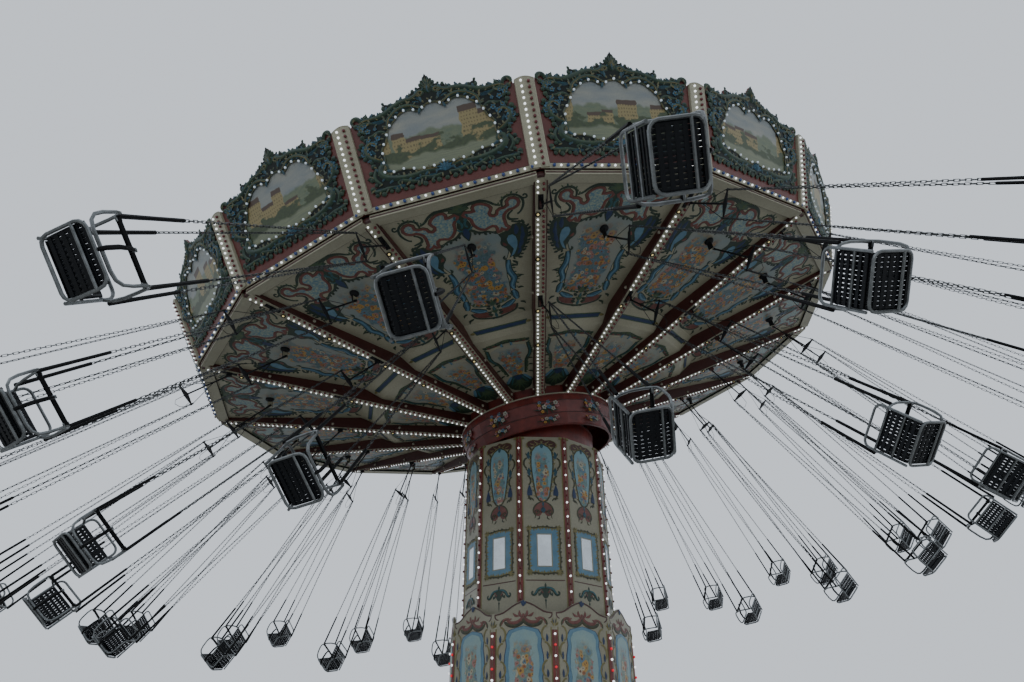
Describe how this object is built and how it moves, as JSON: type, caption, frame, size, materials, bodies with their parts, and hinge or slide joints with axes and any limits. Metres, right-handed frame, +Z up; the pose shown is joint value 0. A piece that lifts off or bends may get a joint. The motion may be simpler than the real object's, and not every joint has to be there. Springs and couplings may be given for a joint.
{
  "type": "chair swing ride",
  "caption": "Fairground chair swing ride in flight: clad tower with a lifting tube, a tilted turning canopy with carved boards, and rings of chairs swung out on chains.",
  "frame": {"origin": "the tower's axis at floor level, on the underside of the base", "axes": "+Z up; -Y faces the side that the picture was taken from; the canopy's axis leans 11.2 degrees toward -X and a little -Y"},
  "size_m": [19.472, 19.6076, 11.653],
  "materials": {
    "tower_cladding": "painted",
    "frame_steel": "satin",
    "rib_paint": "satin",
    "soffit_paint": "painted",
    "collar_paint": "painted",
    "fascia_paint": "painted",
    "roof_cover": "matt",
    "chair_steel": "galvanised"
  },
  "bodies": {
    "base": {"base_frame": "frame_steel", "lower_tower": "tower_cladding"},
    "lift": {"upper_tube": "tower_cladding", "lift_mast": "frame_steel"},
    "head": {"tilt_head": "frame_steel"},
    "canopy": {"canopy_hub": "rib_paint", "hub_ring": "rib_paint", "rib_frame": "rib_paint", "soffit": "soffit_paint", "collar": "collar_paint", "fascia": "fascia_paint", "roof": "roof_cover"},
    "outer_chair_01": {"outer_chair_01": "chair_steel"},
    "outer_chair_02": {"outer_chair_02": "chair_steel"},
    "outer_chair_03": {"outer_chair_03": "chair_steel"},
    "outer_chair_04": {"outer_chair_04": "chair_steel"},
    "outer_chair_05": {"outer_chair_05": "chair_steel"},
    "outer_chair_06": {"outer_chair_06": "chair_steel"},
    "outer_chair_07": {"outer_chair_07": "chair_steel"},
    "outer_chair_08": {"outer_chair_08": "chair_steel"},
    "outer_chair_09": {"outer_chair_09": "chair_steel"},
    "outer_chair_10": {"outer_chair_10": "chair_steel"},
    "outer_chair_11": {"outer_chair_11": "chair_steel"},
    "outer_chair_12": {"outer_chair_12": "chair_steel"},
    "outer_chair_13": {"outer_chair_13": "chair_steel"},
    "outer_chair_14": {"outer_chair_14": "chair_steel"},
    "outer_chair_15": {"outer_chair_15": "chair_steel"},
    "outer_chair_16": {"outer_chair_16": "chair_steel"},
    "middle_chair_01": {"middle_chair_01": "chair_steel"},
    "middle_chair_02": {"middle_chair_02": "chair_steel"},
    "middle_chair_03": {"middle_chair_03": "chair_steel"},
    "middle_chair_04": {"middle_chair_04": "chair_steel"},
    "middle_chair_05": {"middle_chair_05": "chair_steel"},
    "middle_chair_06": {"middle_chair_06": "chair_steel"},
    "middle_chair_07": {"middle_chair_07": "chair_steel"},
    "middle_chair_08": {"middle_chair_08": "chair_steel"},
    "middle_chair_09": {"middle_chair_09": "chair_steel"},
    "middle_chair_10": {"middle_chair_10": "chair_steel"},
    "middle_chair_11": {"middle_chair_11": "chair_steel"},
    "middle_chair_12": {"middle_chair_12": "chair_steel"},
    "middle_chair_13": {"middle_chair_13": "chair_steel"},
    "middle_chair_14": {"middle_chair_14": "chair_steel"},
    "middle_chair_15": {"middle_chair_15": "chair_steel"},
    "middle_chair_16": {"middle_chair_16": "chair_steel"},
    "inner_chair_01": {"inner_chair_01": "chair_steel"},
    "inner_chair_02": {"inner_chair_02": "chair_steel"},
    "inner_chair_03": {"inner_chair_03": "chair_steel"},
    "inner_chair_04": {"inner_chair_04": "chair_steel"},
    "inner_chair_05": {"inner_chair_05": "chair_steel"},
    "inner_chair_06": {"inner_chair_06": "chair_steel"},
    "inner_chair_07": {"inner_chair_07": "chair_steel"},
    "inner_chair_08": {"inner_chair_08": "chair_steel"},
    "inner_chair_09": {"inner_chair_09": "chair_steel"},
    "inner_chair_10": {"inner_chair_10": "chair_steel"},
    "inner_chair_11": {"inner_chair_11": "chair_steel"},
    "inner_chair_12": {"inner_chair_12": "chair_steel"},
    "inner_chair_13": {"inner_chair_13": "chair_steel"},
    "inner_chair_14": {"inner_chair_14": "chair_steel"},
    "inner_chair_15": {"inner_chair_15": "chair_steel"},
    "inner_chair_16": {"inner_chair_16": "chair_steel"}
  },
  "joints": [
    {"name": "lift_slide", "type": "slide", "parent": "base", "child": "lift", "axis": [0, 0, 1], "range_m": [-2.45, 0]},
    {"name": "head_tilt", "type": "hinge", "parent": "lift", "child": "head", "pos_m": [0, 0, 7.892], "axis": [0.4442, -0.8959, 0], "range_deg": [-11.2, 0]},
    {"name": "canopy_spin", "type": "hinge", "parent": "head", "child": "canopy", "pos_m": [0, 0, 7.892], "axis": [-0.174, -0.0863, 0.981], "continuous": true},
    {"name": "outer_chair_01_swing", "type": "hinge", "parent": "canopy", "child": "outer_chair_01", "pos_m": [0.1667, -5.63973, 8.19092], "axis": [-0.9833, -0.0385, -0.1778], "range_deg": [-54.63, 4]},
    {"name": "outer_chair_02_swing", "type": "hinge", "parent": "canopy", "child": "outer_chair_02", "pos_m": [2.25132, -5.13287, 8.60532], "axis": [-0.8881, -0.4165, -0.1942], "range_deg": [-50.27, 3.7]},
    {"name": "outer_chair_03_swing", "type": "hinge", "parent": "canopy", "child": "outer_chair_03", "pos_m": [3.97331, -3.85445, 9.02323], "axis": [-0.6578, -0.7312, -0.181], "range_deg": [-45.85, 3.38]},
    {"name": "outer_chair_04_swing", "type": "hinge", "parent": "canopy", "child": "outer_chair_04", "pos_m": [5.07051, -1.99908, 9.38105], "axis": [-0.3272, -0.9345, -0.1402], "range_deg": [-42.06, 3.1]},
    {"name": "outer_chair_05_swing", "type": "hinge", "parent": "canopy", "child": "outer_chair_05", "pos_m": [5.37588, 0.15077, 9.6243], "axis": [0.0531, -0.9955, -0.0781], "range_deg": [-39.49, 2.91]},
    {"name": "outer_chair_06_swing", "type": "hinge", "parent": "canopy", "child": "outer_chair_06", "pos_m": [4.84293, 2.26781, 9.71594], "axis": [0.4254, -0.905, -0.0041], "range_deg": [-38.52, 2.84]},
    {"name": "outer_chair_07_swing", "type": "hinge", "parent": "canopy", "child": "outer_chair_07", "pos_m": [3.55279, 4.02973, 9.64203], "axis": [0.7329, -0.6767, 0.0705], "range_deg": [-39.3, 2.9]},
    {"name": "outer_chair_08_swing", "type": "hinge", "parent": "canopy", "child": "outer_chair_08", "pos_m": [1.70189, 5.1683, 9.41381], "axis": [0.9288, -0.3454, 0.1344], "range_deg": [-41.72, 3.07]},
    {"name": "outer_chair_09_swing", "type": "hinge", "parent": "canopy", "child": "outer_chair_09", "pos_m": [-0.428, 5.51018, 9.06603], "axis": [0.9833, 0.0385, 0.1778], "range_deg": [-45.39, 3.34]},
    {"name": "outer_chair_10_swing", "type": "hinge", "parent": "canopy", "child": "outer_chair_10", "pos_m": [-2.51263, 5.00333, 8.65163], "axis": [0.8881, 0.4165, 0.1942], "range_deg": [-49.77, 3.66]},
    {"name": "outer_chair_11_swing", "type": "hinge", "parent": "canopy", "child": "outer_chair_11", "pos_m": [-4.23462, 3.7249, 8.23372], "axis": [0.6578, 0.7312, 0.181], "range_deg": [-54.19, 3.99]},
    {"name": "outer_chair_12_swing", "type": "hinge", "parent": "canopy", "child": "outer_chair_12", "pos_m": [-5.33181, 1.86953, 7.8759], "axis": [0.3272, 0.9345, 0.1402], "range_deg": [-57.98, 4.26]},
    {"name": "outer_chair_13_swing", "type": "hinge", "parent": "canopy", "child": "outer_chair_13", "pos_m": [-5.63718, -0.28032, 7.63265], "axis": [-0.0531, 0.9955, 0.0781], "range_deg": [-60.55, 4.45]},
    {"name": "outer_chair_14_swing", "type": "hinge", "parent": "canopy", "child": "outer_chair_14", "pos_m": [-5.10423, -2.39735, 7.54101], "axis": [-0.4254, 0.905, 0.0041], "range_deg": [-61.52, 4.52]},
    {"name": "outer_chair_15_swing", "type": "hinge", "parent": "canopy", "child": "outer_chair_15", "pos_m": [-3.8141, -4.15927, 7.61493], "axis": [-0.7329, 0.6767, -0.0705], "range_deg": [-60.74, 4.47]},
    {"name": "outer_chair_16_swing", "type": "hinge", "parent": "canopy", "child": "outer_chair_16", "pos_m": [-1.96319, -5.29784, 7.84315], "axis": [-0.9288, 0.3454, -0.1344], "range_deg": [-58.32, 4.29]},
    {"name": "middle_chair_01_swing", "type": "hinge", "parent": "canopy", "child": "middle_chair_01", "pos_m": [1.09422, -4.8303, 8.29555], "axis": [-0.9541, -0.232, -0.1897], "range_deg": [-49.5, 3.64]},
    {"name": "middle_chair_02_swing", "type": "hinge", "parent": "canopy", "child": "middle_chair_02", "pos_m": [2.80263, -4.02907, 8.66909], "axis": [-0.7881, -0.5851, -0.1913], "range_deg": [-45.02, 3.31]},
    {"name": "middle_chair_03_swing", "type": "hinge", "parent": "canopy", "child": "middle_chair_03", "pos_m": [4.06789, -2.62261, 9.01724], "axis": [-0.5021, -0.8491, -0.1638], "range_deg": [-40.84, 3.01]},
    {"name": "middle_chair_04_swing", "type": "hinge", "parent": "canopy", "child": "middle_chair_04", "pos_m": [4.69736, -0.82506, 9.287], "axis": [-0.1398, -0.9839, -0.1113], "range_deg": [-37.6, 2.77]},
    {"name": "middle_chair_05_swing", "type": "hinge", "parent": "canopy", "child": "middle_chair_05", "pos_m": [4.59522, 1.08993, 9.4373], "axis": [0.2439, -0.9689, -0.0419], "range_deg": [-35.79, 2.64]},
    {"name": "middle_chair_06_swing", "type": "hinge", "parent": "canopy", "child": "middle_chair_06", "pos_m": [3.77702, 2.83081, 9.44526], "axis": [0.5904, -0.8064, 0.0338], "range_deg": [-35.7, 2.63]},
    {"name": "middle_chair_07_swing", "type": "hinge", "parent": "canopy", "child": "middle_chair_07", "pos_m": [2.36731, 4.13256, 9.30966], "axis": [0.8471, -0.5211, 0.1044], "range_deg": [-37.32, 2.75]},
    {"name": "middle_chair_08_swing", "type": "hinge", "parent": "canopy", "child": "middle_chair_08", "pos_m": [0.58072, 4.79699, 9.05115], "axis": [0.9748, -0.1565, 0.1592], "range_deg": [-40.43, 2.98]},
    {"name": "middle_chair_09_swing", "type": "hinge", "parent": "canopy", "child": "middle_chair_09", "pos_m": [-1.31076, 4.72295, 8.70908], "axis": [0.9541, 0.232, 0.1897], "range_deg": [-44.54, 3.28]},
    {"name": "middle_chair_10_swing", "type": "hinge", "parent": "canopy", "child": "middle_chair_10", "pos_m": [-3.01918, 3.92171, 8.33554], "axis": [0.7881, 0.5851, 0.1913], "range_deg": [-49.02, 3.61]},
    {"name": "middle_chair_11_swing", "type": "hinge", "parent": "canopy", "child": "middle_chair_11", "pos_m": [-4.28443, 2.51526, 7.98739], "axis": [0.5021, 0.8491, 0.1638], "range_deg": [-53.2, 3.91]},
    {"name": "middle_chair_12_swing", "type": "hinge", "parent": "canopy", "child": "middle_chair_12", "pos_m": [-4.91391, 0.71771, 7.71763], "axis": [0.1398, 0.9839, 0.1113], "range_deg": [-56.44, 4.15]},
    {"name": "middle_chair_13_swing", "type": "hinge", "parent": "canopy", "child": "middle_chair_13", "pos_m": [-4.81177, -1.19728, 7.56733], "axis": [-0.2439, 0.9689, 0.0419], "range_deg": [-58.25, 4.28]},
    {"name": "middle_chair_14_swing", "type": "hinge", "parent": "canopy", "child": "middle_chair_14", "pos_m": [-3.99356, -2.93816, 7.55937], "axis": [-0.5904, 0.8064, -0.0338], "range_deg": [-58.34, 4.29]},
    {"name": "middle_chair_15_swing", "type": "hinge", "parent": "canopy", "child": "middle_chair_15", "pos_m": [-2.58386, -4.23991, 7.69497], "axis": [-0.8471, 0.5211, -0.1044], "range_deg": [-56.72, 4.17]},
    {"name": "middle_chair_16_swing", "type": "hinge", "parent": "canopy", "child": "middle_chair_16", "pos_m": [-0.79727, -4.90434, 7.95348], "axis": [-0.9748, 0.1565, -0.1592], "range_deg": [-53.61, 3.94]},
    {"name": "inner_chair_01_swing", "type": "hinge", "parent": "canopy", "child": "inner_chair_01", "pos_m": [0.14743, -3.76907, 7.89257], "axis": [-0.9833, -0.0385, -0.1778], "range_deg": [-47.15, 3.47]},
    {"name": "inner_chair_02_swing", "type": "hinge", "parent": "canopy", "child": "inner_chair_02", "pos_m": [1.54711, -3.42876, 8.17081], "axis": [-0.8881, -0.4165, -0.1942], "range_deg": [-42.77, 3.15]},
    {"name": "inner_chair_03_swing", "type": "hinge", "parent": "canopy", "child": "inner_chair_03", "pos_m": [2.7033, -2.57038, 8.45141], "axis": [-0.6578, -0.7312, -0.181], "range_deg": [-38.35, 2.83]},
    {"name": "inner_chair_04_swing", "type": "hinge", "parent": "canopy", "child": "inner_chair_04", "pos_m": [3.43999, -1.32464, 8.69166], "axis": [-0.3272, -0.9345, -0.1402], "range_deg": [-34.56, 2.55]},
    {"name": "inner_chair_05_swing", "type": "hinge", "parent": "canopy", "child": "inner_chair_05", "pos_m": [3.64502, 0.11884, 8.85498], "axis": [0.0531, -0.9955, -0.0781], "range_deg": [-31.99, 2.36]},
    {"name": "inner_chair_06_swing", "type": "hinge", "parent": "canopy", "child": "inner_chair_06", "pos_m": [3.28718, 1.54027, 8.91651], "axis": [0.4254, -0.905, -0.0041], "range_deg": [-31.02, 2.29]},
    {"name": "inner_chair_07_swing", "type": "hinge", "parent": "canopy", "child": "inner_chair_07", "pos_m": [2.42095, 2.72328, 8.86688], "axis": [0.7329, -0.6767, 0.0705], "range_deg": [-31.8, 2.35]},
    {"name": "inner_chair_08_swing", "type": "hinge", "parent": "canopy", "child": "inner_chair_08", "pos_m": [1.1782, 3.48775, 8.71365], "axis": [0.9288, -0.3454, 0.1344], "range_deg": [-34.22, 2.52]},
    {"name": "inner_chair_09_swing", "type": "hinge", "parent": "canopy", "child": "inner_chair_09", "pos_m": [-0.25187, 3.7173, 8.48014], "axis": [0.9833, 0.0385, 0.1778], "range_deg": [-37.89, 2.79]},
    {"name": "inner_chair_10_swing", "type": "hinge", "parent": "canopy", "child": "inner_chair_10", "pos_m": [-1.65155, 3.37698, 8.20191], "axis": [0.8881, 0.4165, 0.1942], "range_deg": [-42.27, 3.11]},
    {"name": "inner_chair_11_swing", "type": "hinge", "parent": "canopy", "child": "inner_chair_11", "pos_m": [-2.80774, 2.51861, 7.92131], "axis": [0.6578, 0.7312, 0.181], "range_deg": [-46.69, 3.44]},
    {"name": "inner_chair_12_swing", "type": "hinge", "parent": "canopy", "child": "inner_chair_12", "pos_m": [-3.54443, 1.27286, 7.68106], "axis": [0.3272, 0.9345, 0.1402], "range_deg": [-50.48, 3.71]},
    {"name": "inner_chair_13_swing", "type": "hinge", "parent": "canopy", "child": "inner_chair_13", "pos_m": [-3.74946, -0.17061, 7.51773], "axis": [-0.0531, 0.9955, 0.0781], "range_deg": [-53.05, 3.9]},
    {"name": "inner_chair_14_swing", "type": "hinge", "parent": "canopy", "child": "inner_chair_14", "pos_m": [-3.39162, -1.59205, 7.4562], "axis": [-0.4254, 0.905, 0.0041], "range_deg": [-54.02, 3.97]},
    {"name": "inner_chair_15_swing", "type": "hinge", "parent": "canopy", "child": "inner_chair_15", "pos_m": [-2.52539, -2.77505, 7.50583], "axis": [-0.7329, 0.6767, -0.0705], "range_deg": [-53.24, 3.92]},
    {"name": "inner_chair_16_swing", "type": "hinge", "parent": "canopy", "child": "inner_chair_16", "pos_m": [-1.28264, -3.53952, 7.65907], "axis": [-0.9288, 0.3454, -0.1344], "range_deg": [-50.82, 3.74]}
  ],
  "couplings": [
    {"joint": "outer_chair_02_swing", "follows": "outer_chair_01_swing", "ratio": 0.9198},
    {"joint": "outer_chair_03_swing", "follows": "outer_chair_01_swing", "ratio": 0.83891},
    {"joint": "outer_chair_04_swing", "follows": "outer_chair_01_swing", "ratio": 0.76965},
    {"joint": "outer_chair_05_swing", "follows": "outer_chair_01_swing", "ratio": 0.72258},
    {"joint": "outer_chair_06_swing", "follows": "outer_chair_01_swing", "ratio": 0.70484},
    {"joint": "outer_chair_07_swing", "follows": "outer_chair_01_swing", "ratio": 0.71915},
    {"joint": "outer_chair_08_swing", "follows": "outer_chair_01_swing", "ratio": 0.76332},
    {"joint": "outer_chair_09_swing", "follows": "outer_chair_01_swing", "ratio": 0.83063},
    {"joint": "outer_chair_10_swing", "follows": "outer_chair_01_swing", "ratio": 0.91083},
    {"joint": "outer_chair_11_swing", "follows": "outer_chair_01_swing", "ratio": 0.99172},
    {"joint": "outer_chair_12_swing", "follows": "outer_chair_01_swing", "ratio": 1.061},
    {"joint": "outer_chair_13_swing", "follows": "outer_chair_01_swing", "ratio": 1.1081},
    {"joint": "outer_chair_14_swing", "follows": "outer_chair_01_swing", "ratio": 1.1258},
    {"joint": "outer_chair_15_swing", "follows": "outer_chair_01_swing", "ratio": 1.1115},
    {"joint": "outer_chair_16_swing", "follows": "outer_chair_01_swing", "ratio": 1.0673},
    {"joint": "middle_chair_01_swing", "follows": "outer_chair_01_swing", "ratio": 0.90585},
    {"joint": "middle_chair_02_swing", "follows": "outer_chair_01_swing", "ratio": 0.82373},
    {"joint": "middle_chair_03_swing", "follows": "outer_chair_01_swing", "ratio": 0.74719},
    {"joint": "middle_chair_04_swing", "follows": "outer_chair_01_swing", "ratio": 0.68788},
    {"joint": "middle_chair_05_swing", "follows": "outer_chair_01_swing", "ratio": 0.65484},
    {"joint": "middle_chair_06_swing", "follows": "outer_chair_01_swing", "ratio": 0.65309},
    {"joint": "middle_chair_07_swing", "follows": "outer_chair_01_swing", "ratio": 0.6829},
    {"joint": "middle_chair_08_swing", "follows": "outer_chair_01_swing", "ratio": 0.73974},
    {"joint": "middle_chair_09_swing", "follows": "outer_chair_01_swing", "ratio": 0.81494},
    {"joint": "middle_chair_10_swing", "follows": "outer_chair_01_swing", "ratio": 0.89706},
    {"joint": "middle_chair_11_swing", "follows": "outer_chair_01_swing", "ratio": 0.9736},
    {"joint": "middle_chair_12_swing", "follows": "outer_chair_01_swing", "ratio": 1.0329},
    {"joint": "middle_chair_13_swing", "follows": "outer_chair_01_swing", "ratio": 1.066},
    {"joint": "middle_chair_14_swing", "follows": "outer_chair_01_swing", "ratio": 1.0677},
    {"joint": "middle_chair_15_swing", "follows": "outer_chair_01_swing", "ratio": 1.0379},
    {"joint": "middle_chair_16_swing", "follows": "outer_chair_01_swing", "ratio": 0.98106},
    {"joint": "inner_chair_01_swing", "follows": "outer_chair_01_swing", "ratio": 0.8627},
    {"joint": "inner_chair_02_swing", "follows": "outer_chair_01_swing", "ratio": 0.7825},
    {"joint": "inner_chair_03_swing", "follows": "outer_chair_01_swing", "ratio": 0.70161},
    {"joint": "inner_chair_04_swing", "follows": "outer_chair_01_swing", "ratio": 0.63236},
    {"joint": "inner_chair_05_swing", "follows": "outer_chair_01_swing", "ratio": 0.58528},
    {"joint": "inner_chair_06_swing", "follows": "outer_chair_01_swing", "ratio": 0.56754},
    {"joint": "inner_chair_07_swing", "follows": "outer_chair_01_swing", "ratio": 0.58185},
    {"joint": "inner_chair_08_swing", "follows": "outer_chair_01_swing", "ratio": 0.62602},
    {"joint": "inner_chair_09_swing", "follows": "outer_chair_01_swing", "ratio": 0.69333},
    {"joint": "inner_chair_10_swing", "follows": "outer_chair_01_swing", "ratio": 0.77353},
    {"joint": "inner_chair_11_swing", "follows": "outer_chair_01_swing", "ratio": 0.85442},
    {"joint": "inner_chair_12_swing", "follows": "outer_chair_01_swing", "ratio": 0.92368},
    {"joint": "inner_chair_13_swing", "follows": "outer_chair_01_swing", "ratio": 0.97075},
    {"joint": "inner_chair_14_swing", "follows": "outer_chair_01_swing", "ratio": 0.98849},
    {"joint": "inner_chair_15_swing", "follows": "outer_chair_01_swing", "ratio": 0.97418},
    {"joint": "inner_chair_16_swing", "follows": "outer_chair_01_swing", "ratio": 0.93001}
  ]
}
